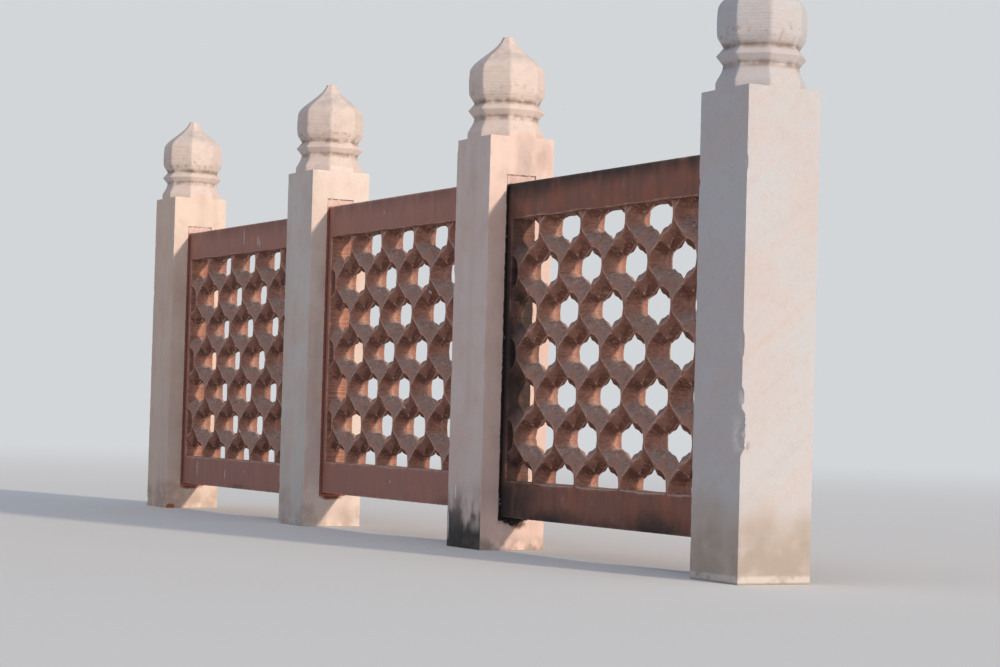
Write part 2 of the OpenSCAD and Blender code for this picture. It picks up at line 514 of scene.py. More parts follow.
def cutting_tree(name, vectors, floats):
    """A tree whose output is a mesh made from a density, and its inputs. Every such tree has
    Low and High, the corners of its volume, Cell, the size of the volume's cells, and Seed."""
    tree = bpy.data.node_groups.new(name, "GeometryNodeTree")
    tree.interface.new_socket(
        name="Geometry", in_out="OUTPUT", socket_type="NodeSocketGeometry")
    inputs = {
        "Vector": ("Low", "High", "Cell", *vectors),
        "Float": ("Seed", *floats),
        "Material": ("Material",),
    }
    for kind, labels in inputs.items():
        for label in labels:
            tree.interface.new_socket(name=label, in_out="INPUT", socket_type="NodeSocket" + kind)
    return tree, tree.nodes.new("NodeGroupInput").outputs


def mesh_the_solid(tree, given, depth):
    """Ends a cutting tree: depth is how far each place lies under the surface."""
    low, high = given["Low"], given["High"]
    density = add(tree, MATH, [depth, STEEP, LIFT], operation="MULTIPLY_ADD")
    size = add(tree, VECTOR, [high, low], operation="SUBTRACT")
    cells = add(tree, SPLIT,
        [add(tree, VECTOR, [size, given["Cell"]], operation="DIVIDE")]).node.outputs
    volume = add(tree, "GeometryNodeVolumeCube", {"Density": density, "Background": 0.0,
        "Min": low, "Max": high, "Resolution X": cells[0], "Resolution Y": cells[1],
        "Resolution Z": cells[2]})
    mesh = add(tree, "GeometryNodeVolumeToMesh",
        {"Volume": volume, "Threshold": LIFT, "Adaptivity": 0.0}, resolution_mode="GRID")
    smooth = add(tree, "GeometryNodeSetShadeSmooth", {"Geometry": mesh})
    real = add(tree, "GeometryNodeRealizeInstances", {"Geometry": smooth})
    done = add(tree, "GeometryNodeSetMaterial", {"Geometry": real, "Material": given["Material"]})
    add(tree, "NodeGroupOutput", [done])


def cut_by(tree, name, values):
    """A plain mesh object made by a cutting tree."""
    thing = new_object(name, bpy.data.meshes.new(name))
    cutting = thing.modifiers.new("Cutting", "NODES")
    cutting.node_group = tree
    names = {item.name: item.identifier for item in tree.interface.items_tree}
    for label, value in values.items():
        cutting[names[label]] = value
    return settled(thing)


def under_box(tree, place, middle, half):
    """How far a place lies under the faces of a box, along X, Y and Z."""
    apart = add(tree, VECTOR,
        [add(tree, VECTOR, [place, middle], operation="SUBTRACT")], operation="ABSOLUTE")
    under = add(tree, VECTOR, [half, apart], operation="SUBTRACT")
    return add(tree, SPLIT, [under]).node.outputs


def in_box(tree, place, middle, half):
    """How far a place lies under the nearest face of a box."""
    x, y, z = under_box(tree, place, middle, half)
    nearer = add(tree, MATH, [y, z], operation="MINIMUM")
    return add(tree, MATH, [x, nearer], operation="MINIMUM")


def bevel(tree, deep, start, end, inside, outside):
    """Reach of a hole's side where it widens from inside at start to outside at end, and
    what evens out distances measured across that slant."""
    reach = add(tree, RANGE, [deep, start, end, inside, outside], clamp=False)
    rise = add(tree, MATH, [add(tree, MATH, [outside, inside], operation="SUBTRACT"),
        add(tree, MATH, [end, start], operation="SUBTRACT")], operation="DIVIDE")
    even = add(tree, MATH, [add(tree, MATH, [rise, rise, 1.0], operation="MULTIPLY_ADD")],
        operation="INVERSE_SQRT")
    return reach, even


def in_hole(tree, given, bevels, u, v):
    """How far a place lies inside a lantern-shaped hole, if it is u beside and v above the
    hole's middle. Two pairs of slanted sides cross at its core, and round lobes widen it."""
    places = {}
    for kind in ("Tip", "Neck"):
        slanted = add(tree, MATH, [v, given[kind + " cosine"]], operation="MULTIPLY")
        places[kind] = add(tree, MATH, [u, given[kind + " sine"], slanted],
            operation="MULTIPLY_ADD")
    beside = add(tree, MATH, [u, given["Lobe place"]], operation="SUBTRACT")
    places["Lobe"] = add(tree, VECTOR, [add(tree, "ShaderNodeCombineXYZ", [beside, v])],
        out="Value", operation="LENGTH")
    cuts = {}
    for kind, slants in bevels.items():
        cuts[kind] = add(tree, MATH, [add(tree, MATH, [
            add(tree, MATH, [reach, places[kind]], operation="SUBTRACT"), even],
            operation="MULTIPLY") for reach, even in slants], operation="MAXIMUM")
    core = add(tree, MATH, [cuts["Tip"], cuts["Neck"]], operation="MINIMUM")
    return add(tree, MATH, [core, cuts["Lobe"]], operation="MAXIMUM")


def pierced_panel_tree():
    """A slab with a window full of holes, each row half a step along. The sides of a hole are
    bevelled twice from each face and meet in a ridge in the middle."""
    tree, given = cutting_tree("Pierced panel",
        ("Middle", "Half slab", "Half window", "Tip", "Neck", "Lobe"),
        ("Pitch", "Shift", "Drop", "Tip sine", "Tip cosine", "Neck sine", "Neck cosine",
            "Lobe place", "Step", "Wear"))
    place = add(tree, "GeometryNodeInputPosition")
    # The carver's lines waver by about half a millimetre over a hand's breadth
    waver = add(tree, NOISE, {"Vector": place, "W": given["Seed"], "Scale": 1 / (55 * MM),
        "Detail": 1.0}, out="Color", noise_dimensions="4D")
    waver = add(tree, VECTOR, [waver, (0.5, 0.5, 0.5)], operation="SUBTRACT")
    waver = add(tree, VECTOR, {0: waver, "Scale": 3.6 * MM}, operation="SCALE")
    from_middle = add(tree, VECTOR, [place, given["Middle"]], operation="SUBTRACT")
    x, y, z = add(tree, SPLIT,
        [add(tree, VECTOR, [from_middle, waver], operation="ADD")]).node.outputs
    deep = add(tree, MATH, [y], operation="ABSOLUTE")
    half_y = add(tree, SPLIT, [given["Half slab"]]).node.outputs[1]
    step = add(tree, MATH, [half_y, given["Step"]], operation="SUBTRACT")
    bevels = {}
    for kind in ("Tip", "Neck", "Lobe"):
        inside, at_step, at_face = add(tree, SPLIT, [given[kind]]).node.outputs
        bevels[kind] = (bevel(tree, deep, 0.0, step, inside, at_step),
            bevel(tree, deep, step, half_y, at_step, at_face))
    half_pitch = add(tree, MATH, [given["Pitch"], 0.5], operation="MULTIPLY")
    minus_half = add(tree, MATH, [given["Pitch"], -0.5], operation="MULTIPLY")
    along = add(tree, MATH, [x, given["Shift"]], operation="SUBTRACT")
    half_step = add(tree, MATH, [along, half_pitch], operation="ADD")
    z = add(tree, MATH, [z, given["Drop"]], operation="ADD")
    raised = add(tree, MATH, [z, half_pitch], operation="ADD")
    solids = []
    for across, up in ((along, raised), (half_step, z)):
        u, v = (add(tree, MATH, [add(tree, MATH, [value, half_pitch, minus_half],
            operation="WRAP")], operation="ABSOLUTE") for value in (across, up))
        hole = in_hole(tree, given, bevels, u, v)
        solids.append(add(tree, MATH, [hole, -1.0], operation="MULTIPLY"))
    bars = add(tree, MATH, [*solids, given["Wear"]], operation="SMOOTH_MIN")
    in_window = under_box(tree, add(tree, VECTOR, [place, waver], operation="ADD"),
        given["Middle"], given["Half window"])
    window = add(tree, MATH, [in_window[0], in_window[2]], operation="MINIMUM")
    border = add(tree, MATH, [window, -1.0], operation="MULTIPLY")
    lattice = add(tree, MATH, [bars, border], operation="MAXIMUM")
    # Arrises are worn back a little everywhere and chipped in places
    chips = add(tree, NOISE, {"Vector": place, "W": given["Seed"], "Scale": 1 / (13 * MM),
        "Detail": 2.0}, noise_dimensions="4D")
    chips = add(tree, RANGE, [chips, 0.6, 0.78, 0.0, 12 * MM])
    eased_by = add(tree, MATH, [given["Wear"], chips], operation="ADD")
    slab = under_box(tree, place, given["Middle"], given["Half slab"])
    ends = add(tree, MATH, [slab[0], slab[2]], operation="MINIMUM")
    block = add(tree, MATH, [slab[1], ends, eased_by], operation="SMOOTH_MIN")
    solid = add(tree, MATH, [block, lattice, eased_by], operation="SMOOTH_MIN")
    # Tool marks roughen every face by a fraction of a millimetre
    grain = add(tree, NOISE, {"Vector": place, "Scale": 1 / (8 * MM), "Detail": 2.0})
    solid = add(tree, MATH, [grain, -0.5 * MM, solid], operation="MULTIPLY_ADD")
    mesh_the_solid(tree, given, solid)
    return tree


def mortar_tree():
    """Lumpy fill of a mortise round the end of a panel, and the mortar pressed out below."""
    tree, given = cutting_tree("Bedding mortar",
        ("Middle", "Half", "Slab middle", "Half slab", "Smear middle", "Smear size"), ("Lump",))
    place = add(tree, "GeometryNodeInputPosition")
    lumps = add(tree, NOISE, {"Vector": place, "W": given["Seed"], "Scale": 1 / (9 * MM),
        "Detail": 3.0}, noise_dimensions="4D")
    lumps = add(tree, MATH, [lumps, 0.5], operation="SUBTRACT")
    rough = add(tree, MATH, [given["Lump"], 2.0], operation="MULTIPLY")
    fill = in_box(tree, place, given["Middle"], given["Half"])
    fill = add(tree, MATH, [lumps, rough, fill], operation="MULTIPLY_ADD")
    from_smear = add(tree, VECTOR, [place, given["Smear middle"]], operation="SUBTRACT")
    from_smear = add(tree, VECTOR, [from_smear, given["Smear size"]], operation="DIVIDE")
    spread = add(tree, VECTOR, [from_smear], out="Value", operation="LENGTH")
    smear = add(tree, MATH, [1.0, spread], operation="SUBTRACT")
    smear = add(tree, MATH, [lumps, 1.6, smear], operation="MULTIPLY_ADD")
    smear = add(tree, MATH, [smear, 7 * MM], operation="MULTIPLY")
    mass = add(tree, MATH, [fill, smear], operation="MAXIMUM")
    panel = in_box(tree, place, given["Slab middle"], given["Half slab"])
    outside = add(tree, MATH, [panel, -1.0], operation="MULTIPLY")
    solid = add(tree, MATH, [mass, outside], operation="MINIMUM")
    mesh_the_solid(tree, given, solid)
    return tree


class BALUSTRADE_OT_panels(bpy.types.Operator):
    """Carve the three pierced panels"""

    bl_idname = "balustrade.panels"
    bl_label = "Panels"

    def execute(self, context):
        sizes = context.scene.balustrade_panels
        tree = pierced_panel_tree()
        cell = sizes.grain * 1.0
        # Distance between the middles of two neighbouring holes, across the bar between them
        span = sizes.pitch / 2 * (math.sin(sizes.neck_slope) + math.cos(sizes.neck_slope))
        for number, (low, high) in enumerate(PANELS, start=1):
            middle, half = (low + high) / 2, (high - low) / 2
            clear = POSTS[number][0].x - POSTS[number - 1][1].x
            # The window cuts right through the slab, which is much less than a metre thick
            window = Vector((clear / 2 - sizes.stile, 1.0, half.z - sizes.rail))
            skin = Vector((3 * cell,) * 3)
            panel = cut_by(tree, f"panel_{number}_stone", {
                "Low": low - skin, "High": high + skin, "Middle": middle, "Half slab": half,
                "Half window": window, "Pitch": sizes.pitch, "Shift": sizes.shifts[number - 1],
                "Drop": sizes.drop, "Step": sizes.step_depth,
                "Tip": Vector(sizes.tips) * math.cos(sizes.tip_slope),
                "Tip sine": math.sin(sizes.tip_slope), "Tip cosine": math.cos(sizes.tip_slope),
                "Neck": (Vector((span,) * 3) - Vector(sizes.necks)) / 2,
                "Neck sine": math.sin(sizes.neck_slope),
                "Neck cosine": math.cos(sizes.neck_slope), "Lobe": Vector(sizes.lobes),
                "Lobe place": (sizes.pitch - sizes.waist_land) / 2 - sizes.lobes[2],
                "Wear": sizes.wear, "Seed": float(sizes.seed + number),
                "Cell": Vector((cell,) * 3)})
            thinned(panel, PANEL_TRIANGLES)
            panel.data.set_sharp_from_angle(angle=PANEL_ARRIS)
            mark_wear_and_shade(panel, 1)
            finish_piece(panel, f"panel_{number}",
                panel_stone(number, context.scene.balustrade_colours))
        return {"FINISHED"}


class BALUSTRADE_OT_mortar(bpy.types.Operator):
    """Bed the ends of the panels in mortar"""

    bl_idname = "balustrade.mortar"
    bl_label = "Mortar"

    def execute(self, context):
        sizes = context.scene.balustrade_mortar
        tree = mortar_tree()
        # The mortar is forced a little way into the walls of the mortise
        forced = Vector((0, 0.8, 0.8)) * MM
        # Room for the lumps and for what is pressed out, round the box of the mortar
        skin = Vector((14, 4, 12)) * MM
        for bay, (slab_low, slab_high) in enumerate(PANELS, start=1):
            for side, towards in (("left", 1), ("right", -1)):
                low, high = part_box(f"mortar_{bay}_{side}")
                face = high.x if side == "left" else low.x
                # Most is pressed out at the foot of the third panel, beside the third post
                pressed = (7, 22, 11) if (bay, side) == (3, "left") else (3, 20, 4)
                mortar = cut_by(tree, f"mortar_{bay}_{side}_fill", {
                    "Low": low - skin, "High": high + skin, "Middle": (low + high) / 2,
                    "Half": (high - low) / 2 + forced, "Slab middle": (slab_low + slab_high) / 2,
                    "Half slab": (slab_high - slab_low) / 2,
                    "Smear middle": Vector((face, 0, slab_low.z - 3 * MM)),
                    "Smear size": Vector(pressed) * MM, "Lump": sizes.lump,
                    "Seed": float(sizes.seed + bay * 2 + towards),
                    "Cell": Vector((1.6, 1.6, 3.0)) * MM})
                thinned(mortar, MORTAR_TRIANGLES)
                mark_wear_and_shade(mortar, 1)
                finish_piece(mortar, f"mortar_{bay}_{side}",
                    bedding_mortar(bay, side, context.scene.balustrade_colours))
        return {"FINISHED"}


# Finishes. Patterns and marks are sized in millimetres, and limits on a place in metres.

def surface(name):
    """A new material, its tree and the place of each point of its surface."""
    material = bpy.data.materials.new(name)
    material.use_nodes = True
    tree = material.node_tree
    tree.nodes.clear()
    return material, tree, add(tree, "ShaderNodeTexCoord", out="Object")


def stone_surface(name):
    """A new material, its tree, the place and the facing of its surface, how hollow it is, and
    the noise that mottles it."""
    material, tree, place = surface(name)
    facing = add(tree, SPLIT, [add(tree, "ShaderNodeNewGeometry", out="Normal")]).node.outputs
    hollow = add(tree, "ShaderNodeAttribute", attribute_name="hollow", out="Fac")
    return material, tree, place, facing, hollow, partial(mottled, tree, place)


def mottled(tree, place, size, stretch=(1, 1, 1), detail=3.0, seed=0.0, tilt=0.0):
    """Noise whose patches are size across, drawn out by stretch and tilted about X."""
    at = add(tree, "ShaderNodeMapping", {"Vector": place, "Rotation": (tilt, 0.0, 0.0),
        "Location": (seed, seed * 1.7, seed * 0.6),
        "Scale": [1 / (size * MM * drawn) for drawn in stretch]})
    return add(tree, NOISE, {"Vector": at, "Scale": 1.0, "Detail": detail})


def bedded(tree, place, size):
    """Noise in diagonal beds, which rise towards +X and +Y; size is their thickness."""
    bent = add(tree, NOISE, {"Vector": place, "Scale": 1 / (120 * MM), "Detail": 2.0},
        out="Color")
    bent = add(tree, VECTOR, {0: bent, "Scale": 30 * MM}, operation="SCALE")
    at = add(tree, VECTOR, [place, bent], operation="ADD")
    level = add(tree, VECTOR, [at, (-0.50, -0.62, 0.80)], out="Value",
        operation="DOT_PRODUCT")
    level = add(tree, MATH, [level, size * MM], operation="DIVIDE")
    return add(tree, NOISE, {"W": level, "Scale": 1.0, "Detail": 2.0}, noise_dimensions="1D")


def limited(tree, *limits):
    """Product of limits. A limit is a factor, or (value, start, end) or (value, start, end,
    full), which is 0 before start and full, or else 1, after end, and smooth between. Start
    may be above end."""
    product = None
    for limit in limits:
        if isinstance(limit, tuple):
            value, start, end, full = (*limit, 1.0)[:4]
            span = (start, end, 0.0, full) if start < end else (end, start, full, 0.0)
            limit = add(tree, RANGE, [value, *span], interpolation_type="SMOOTHSTEP")
        product = limit if product is None else add(
            tree, MATH, [product, limit], operation="MULTIPLY")
    return product


def layered(tree, colour, layers):
    """Lays colours over the first one. Each layer is a colour and then its limits."""
    for over, *limits in layers:
        under, over = (c if isinstance(c, bpy.types.NodeSocket) else rgba(c)
            for c in (colour, over))
        colour = add(tree, "ShaderNodeMix", {0: limited(tree, *limits), 6: under, 7: over},
            out=2, data_type="RGBA")
    return colour


def spots(tree, place, across, marks, soft=0.5, frayed=1.4):
    """Factor of marks placed one by one: (centre along, height, half width, half height).
    Across picks the axis that runs along the face: 0 for X, 1 for Y."""
    parts = add(tree, SPLIT, [place]).node.outputs
    flat = add(tree, "ShaderNodeCombineXYZ", [parts[across], parts[2]])
    fray = add(tree, MATH, [mottled(tree, place, 18), 0.5], operation="SUBTRACT")
    total = None
    for along, height, wide, tall in marks:
        off = add(tree, VECTOR, [flat, (along * MM, height * MM, 0)], operation="SUBTRACT")
        off = add(tree, VECTOR, [off, (wide * MM, tall * MM, 1)], operation="DIVIDE")
        off = add(tree, VECTOR, [off], out="Value", operation="LENGTH")
        off = add(tree, MATH, [fray, frayed, off], operation="MULTIPLY_ADD")
        mark = limited(tree, (off, 1.0 + soft * 0.3, 1.0 - soft))
        total = mark if total is None else add(tree, MATH, [total, mark], operation="MAXIMUM")
    return total


def finished(material, tree, colour, roughness, relief):
    """Ends a material with its colour, roughness and relief: (height, depth)."""
    normal = None
    for height, depth in relief:
        normal = add(tree, "ShaderNodeBump",
            {"Height": height, "Distance": depth * MM, "Strength": 1.0, "Normal": normal})
    bsdf = add(tree, "ShaderNodeBsdfPrincipled", {"Base Color": colour,
        "Roughness": roughness, "IOR": 1.5, "Normal": normal})
    add(tree, "ShaderNodeOutputMaterial", [bsdf])
    return material


# Painted shade: the wash on the long faces is drawn greyer and darker than on the ends
LONG_FACES_PAINTED_SHADE = {1: "#e4cab7", 2: "#dcd2c9", 3: "#e3d0c8"}


def washed(number, tree, bare, facing, z, shaft, colours, mottle):
    """Pinkish wash over the shaft of one of the three far posts. It stops at the top of the
    plinth on the flats, and at the ledges between them."""
    diagonal = add(tree, MATH, [add(tree, MATH, [facing[0], facing[1]],
        operation="MULTIPLY")], operation="ABSOLUTE")
    edge = add(tree, MATH, [limited(tree, (diagonal, 0.2, 0.4)), -14 * MM, shaft + 11 * MM],
        operation="MULTIPLY_ADD")
    frayed = add(tree, MATH, [z, limited(tree, (mottle(12), 0.3, 0.7, 2 * MM))],
        operation="ADD")
    above = add(tree, MATH, [frayed, edge], operation="SUBTRACT")
    # The long faces take a greyer, darker wash: painted shade
    long_face_shade = add(tree, MATH, [facing[1]], operation="ABSOLUTE")
    wash = layered(tree, getattr(colours, f"wash_{number}"), [
        (LONG_FACES_PAINTED_SHADE[number], (long_face_shade, 0.5, 0.9)),
        ("#d9ab97", (mottle(90), 0.40, 0.70, 0.30)),
        ("#cfae9d", (mottle(30), 0.50, 0.80, 0.30)),
        ("#bfa9a2", (mottle(30, (1, 1, 9)), 0.45, 0.75, 0.28)),
    ])
    return layered(tree, bare, [(wash, (above, 1 * MM, -1 * MM), (mottle(60), 0.15, 0.45))])


def post_stains(number, tree, place, facing, z, mottle):
    """Layers that only some posts have: damp and salt at the foot, soot, smudges, mortar under
    a panel, and specks of white paint."""
    low, high = POSTS[number - 1]
    local = add(tree, VECTOR, [place, ((low.x + high.x) / 2, 0, 0)], operation="SUBTRACT")
    outer, end = (facing[1], -0.5, -0.9), (facing[0], 0.5, 0.9)
    damp = add(tree, MATH, [z, limited(tree, (mottle(80, detail=2.0), 0.2, 0.8, 0.06))],
        operation="SUBTRACT")
    if number == 4:
        # Damp, dirt, a pale rim of salt and a dark line at the ground
        return [
            ("#bdafa4", (damp, 0.120, 0.030, 0.85), (mottle(70), 0.05, 0.45)),
            ("#a49487", (damp, 0.070, 0.010, 0.6), (mottle(30), 0.25, 0.6)),
            ("#d9cfc8", (z, 0.014, 0.009), (mottle(20), 0.25, 0.5, 0.8)),
            ("#a5978c", (z, 0.0035, 0.001, 0.8)),
        ]
    panel_foot = PANELS[number - 1][0].z / MM
    if number == 3:
        drips = [(-33, 96, 2.2, 13), (-58, 36, 2.2, 26)]
        smudges = [(6, 668, 44, 38), (32, 682, 32, 36), (-24, 648, 28, 20)]
        daubs = [(-2, panel_foot - 6, 27, 10), (12, panel_foot - 11, 20, 9)]
        # Soot and dirt at the foot, paint, a smudge under the ledges and mortar under the panel
        return [
            ("#232222", outer, (z, 0.052, 0.022, 0.96)),
            ("#383534", outer, (z, 0.125, 0.045, 0.88), (mottle(24, (1, 1, 1.8)), 0.34, 0.64)),
            ("#6f6259", (z, 0.030, 0.004, 0.6), (mottle(25), 0.35, 0.6)),
            ("#eceff2", outer, spots(tree, local, 0, drips, 0.25, 0.3)),
            ("#9a8780", end, spots(tree, place, 1, smudges, 0.95, 0.8),
                (mottle(28, (1, 1, 2)), 0.20, 0.65, 0.52)),
            ("#6a4c40", end, spots(tree, place, 1, daubs, 0.7)),
        ]
    layers = [
        ("#a58c7c", (damp, 0.040, -0.01, 0.5), (mottle(30), 0.30, 0.6)),
        ("#8a5445", end, spots(tree, place, 1, [(-4, panel_foot - 8, 27, 6)], 0.6)),
    ]
    if number == 2:
        specks = [(22, 480, 1.5, 8), (-20, 455, 1.2, 7), (30, 690, 1.2, 6), (10, 300, 1.2, 5)]
        layers.append(("#e4e8ec", outer, spots(tree, local, 0, specks, 0.25)))
    else:
        layers.append(("#b06a43", end, spots(tree, place, 1, [(-52, 2, 12, 9)], 0.25)))
    return layers


def post_stone(number, shaft, colours):
    """Pale pink sandstone, sawn square and rubbed, with the finial left tooled. The eye sees
    a fine even grain, faint diagonal beds, dirt and painted shade in the creases and a stained
    foot."""
    material, tree, place, facing, hollow, mottle = stone_surface(
        f"rubbed_sandstone_post_{number}")
    z = add(tree, SPLIT, [place]).node.outputs[2]
    rise = add(tree, MATH, [z, shaft], operation="SUBTRACT")
    colour = layered(tree, colours.post if number == 4 else colours.finial, [
        ("#cdbcb6", (mottle(110), 0.35, 0.75, 0.45)),
        ("#c2b8ba", (bedded(tree, place, 16), 0.50, 0.72, 0.20)),
        ("#d9bfae", (bedded(tree, place, 40), 0.48, 0.30, 0.16)),
        ("#cbb4a8", (mottle(14), 0.45, 0.80, 0.30)),
    ])
    if number < 4:
        colour = washed(number, tree, colour, facing, z, shaft, colours, mottle)
    # Darker over and under the band
    over_band = limited(tree, (rise, 0.054, 0.060), (rise, 0.070, 0.062))
    under_band = limited(tree, (rise, 0.026, 0.034), (rise, 0.042, 0.036))
    by_band = add(tree, MATH, [over_band, under_band], operation="MAXIMUM")
    colour = layered(tree, colour, [
        ("#8d7868", by_band, (mottle(16), 0.30, 0.62, 0.75)),
        # Darker in creases: dirt and painted shade
        ("#85705f", (hollow, 0.05, 0.30), (mottle(10), 0.30, 0.60, 0.65)),
        ("#a39a92", (facing[2], 0.55, 0.95), (mottle(20), 0.35, 0.65, 0.6)),
        ("#96755f", (rise, 0.058, 0.064), (rise, 0.105, 0.070), (mottle(11), 0.52, 0.70, 0.55)),
        ("#eadcd4", (hollow, -0.10, -0.35), (mottle(8), 0.45, 0.65, 0.6)),
        ("#a8938a", (mottle(2.2, detail=2.0), 0.50, 0.78, 0.22)),
        ("#efe2da", (mottle(3, detail=1.0, seed=4.0), 0.62, 0.80, 0.30)),
        *post_stains(number, tree, place, facing, z, mottle),
    ])
    dressed = mottle(12)
    # Fine tool lines run round the bulb and its tip
    tooled = limited(tree, mottle(1, (50, 50, 2.2), detail=2.0), (rise, 0.060, 0.064))
    # Sand grains of half a millimetre are drawn three times as coarse, so that they show
    grains = mottle(1.5, detail=2.0)
    return finished(material, tree, colour, 0.88,
        [(dressed, 0.7), (tooled, 1.1), (grains, 0.25)])


# Soot on both faces of each panel, and paint on its outer face, where the panel has them:
# (centre along, height, half width, half height)
SOOT = {
    3: [(1604, 340, 62, 420), (1612, 80, 160, 86), (1760, 52, 200, 30), (1960, 46, 200, 24),
        (2100, 50, 130, 46), (1650, 634, 190, 44), (1850, 640, 300, 26)],
    2: [(1400, 70, 60, 14)],
    1: [(400, 60, 60, 8)],
}
PAINT = {
    3: [(1745, 536, 3, 2.5), (1950, 205, 4, 4)],
    2: [(1290, 452, 3, 3), (1335, 500, 2.5, 2.5), (1205, 240, 2.5, 2.5), (1245, 330, 2, 3),
        (1320, 350, 3, 2.5), (1100, 610, 1.5, 2), (1160, 100, 1.5, 4), (980, 560, 2, 2)],
    1: [(390, 602, 1.5, 22), (470, 588, 2, 12), (480, 582, 1.5, 8), (150, 92, 2, 20),
        (320, 84, 1.6, 10), (430, 94, 2, 2), (500, 470, 4, 5), (300, 250, 3, 2),
        (395, 180, 5, 4), (505, 170, 3, 3)],
}


def panel_stone(number, colours):
    """Red-brown sandstone, sawn to a slab and carved with flat chisels. The eye sees a sandy
    grain, chisel lines down the flares, dust on what faces up and painted shade on what faces
    down."""
    material, tree, place, facing, hollow, mottle = stone_surface(
        f"carved_red_sandstone_panel_{number}")
    _, y, z = add(tree, SPLIT, [place]).node.outputs
    deep = add(tree, MATH, [y], operation="ABSOLUTE")
    sideways = add(tree, MATH, [facing[1]], operation="ABSOLUTE")
    outer, sawn, walls = (facing[1], -0.55, -0.9), (sideways, 0.93, 0.985), (sideways, 0.95, 0.7)
    top = PANELS[number - 1][1].z
    sooty = number == 3
    # Chisel lines run from the faces down into the holes. They are drawn twice as coarse as
    # they are, so that they show.
    chisel = mottle(1, (4.5, 60, 3.2), detail=1.0, tilt=0.35)
    # Blotches in the rock, the sawn face and its streaks, the flares, dust, painted shade on
    # what faces down, chisel lines, dirt and painted shade in creases, bared arrises, dark and
    # pale grains, soot and paint
    colour = layered(tree, colours.panel, [
        ("#b57f6a", (mottle(70), 0.35, 0.70, 0.50)),
        ("#cf9a83", (mottle(22), 0.45, 0.75, 0.45)),
        ("#a98476", (mottle(40, (1, 1, 3)), 0.50, 0.75, 0.40)),
        ("#82564a" if sooty else "#ac7a6d", sawn, (mottle(50), 0.05, 0.40, 0.85)),
        ("#aa664e" if sooty else "#b9806f", sawn, (mottle(60, seed=2.0), 0.42, 0.68, 0.6)),
        ("#6b4c45" if sooty else "#96706a", outer, (mottle(14, (1, 1, 6)), 0.40, 0.75, 0.40)),
        ("#92604f", walls, (deep, 0.003, 0.015, 0.55)),
        ("#b19b90", (facing[2], 0.10, 0.75), (mottle(18), 0.20, 0.55, 0.80)),
        # Painted shade: darker brown on every face that points down
        ("#643a2c", (facing[2], -0.10, -0.75), (mottle(20), 0.10, 0.50, 0.88)),
        ("#6f4637", walls, (chisel, 0.52, 0.70, 0.38)),
        ("#dcb3a0", walls, (chisel, 0.46, 0.32, 0.24)),
        # Darker in creases: dirt and painted shade
        ("#5d3c32", (hollow, 0.06, 0.30), (mottle(10), 0.25, 0.60, 0.70)),
        ("#ecc0ad", (hollow, -0.05, -0.18), (mottle(8), 0.25, 0.50, 0.80)),
        ("#6e4c41", (mottle(2.4, detail=2.0), 0.52, 0.80, 0.35)),
        ("#e0bcab", (mottle(3.4, detail=1.0, seed=3.0), 0.66, 0.82, 0.22)),
        ("#2b2423", spots(tree, place, 0, SOOT[number], 0.9, 0.45),
            (mottle(30, (1, 1, 2.5)), 0.05, 0.45, 0.97 if sooty else 0.35)),
        ("#2f2827", outer, (z, top - 0.034, top - 0.001, 0.85 if sooty else 0.35),
            (mottle(30, (1, 1, 5), seed=6.0), 0.25, 0.60)),
        ("#d3d6d8", outer, spots(tree, place, 0, PAINT[number], 0.3)),
    ])
    return finished(material, tree, colour, 0.86,
        [(mottle(6), 0.9), (limited(tree, chisel, walls), 1.3), (mottle(1.8, detail=2.0), 0.3)])


def bedding_mortar(bay, side, colours):
    """Hand-packed cement and sand, pink where it was washed over and black where soot has
    settled in the joint. The eye sees a gritty, crumbly fill with white specks."""
    material, tree, place, _, hollow, mottle = stone_surface(f"bedding_mortar_{bay}_{side}")
    _, y, z = add(tree, SPLIT, [place]).node.outputs
    top = PANELS[bay - 1][1].z
    joint = (z, top + 1 * MM, top - 3 * MM)
    # Cracks where the fill has shrunk from the sides and the head of its mortise
    off_middle = add(tree, MATH, [y], operation="ABSOLUTE")
    shrunk = add(tree, MATH, [limited(tree, (off_middle, 25.5 * MM, 28 * MM)),
        limited(tree, (z, top + 12.5 * MM, top + 15.5 * MM))], operation="MAXIMUM")
    sooty = (bay, side) == (3, "left")
    # Patches and grit, the coloured joint with its own grit and specks, and dirt and painted
    # shade in hollows
    colour = layered(tree, colours.mortar, [
        ("#cfa89b", (mottle(12), 0.35, 0.70, 0.5)),
        ("#f0e2dc", (mottle(5), 0.45, 0.75, 0.5)),
        ("#1f1b1a" if sooty else "#b56e5c", joint, (mottle(20), 0.10, 0.35)),
        ("#3a3230" if sooty else "#8d5244", joint, (mottle(6), 0.55, 0.75, 0.7)),
        ("#cfc8c2", joint, (mottle(4.5), 0.66, 0.74, 0.9 if sooty else 0.4)),
        # Dirt and painted shade in hollows
        ("#4c3a33", (hollow, 0.08, 0.3, 0.8)),
        ("#4f372f", shrunk, (mottle(7), 0.30, 0.55, 0.85)),
    ])
    return finished(material, tree, colour, 0.93, [(mottle(2.2), 0.8)])


# Stage

# Centre of the floor, a hair under the posts' feet, and its radius
FLOOR_MIDDLE = (1.1, 0, -0.4 * MM)
FLOOR_RADIUS = 14.0
SKY, SKY_STRENGTH = "#d3e4ff", 0.32
# Each lamp: direction towards it, strength, breadth in degrees and colour
LAMPS = {
    "key": ((1.0, 0.23, 0.30), 2.35, 3, "#ffeedb"),
    "glow": ((1.0, 0.2, 0.30), 0.62, 60, "#fff8ee"),
    "overhead": ((0.10, -0.3, 1.0), 0.55, 60, "#eaf2ff"),
}


def seen_itself(tree):
    """1 for a ray by which the camera sees the thing itself, also in gloss or through glass,
    and 0 for the light that the thing gives to others."""
    rays = add(tree, "ShaderNodeLightPath").node.outputs
    seen = add(tree, MATH, [rays["Is Camera Ray"], rays["Is Glossy Ray"]], operation="MAXIMUM")
    return add(tree, MATH, [seen, rays["Is Transmission Ray"]], operation="MAXIMUM")


